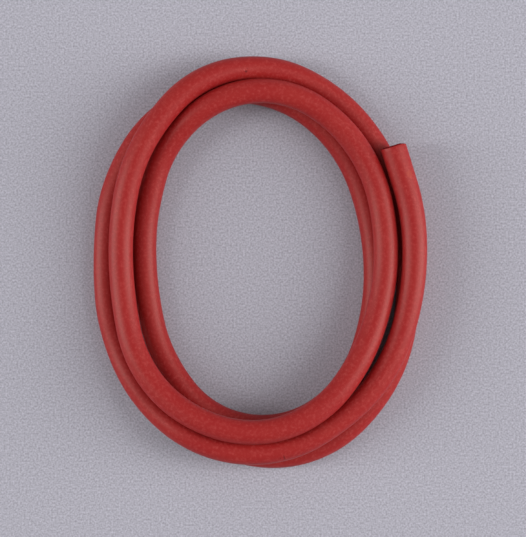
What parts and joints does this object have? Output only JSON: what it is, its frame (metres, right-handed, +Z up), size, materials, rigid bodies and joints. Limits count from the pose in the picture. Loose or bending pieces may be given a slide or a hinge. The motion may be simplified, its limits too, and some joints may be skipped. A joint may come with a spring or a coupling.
{
  "type": "rubber gas tubing",
  "caption": "Length of red rubber gas hose lying in an oval coil, cut square at both ends, with an open bore that pushes over a gas nozzle.",
  "frame": {"origin": "middle of the coil, on the table that it lies on", "axes": "+Z up from the table, +Y along the oval's length towards the far side, +X towards the side of the open end"},
  "size_m": [0.1642, 0.2032, 0.0324],
  "materials": {
    "rubber": "satin, a little dusty"
  },
  "bodies": {
    "root": {"hose": "rubber"}
  },
  "joints": []
}
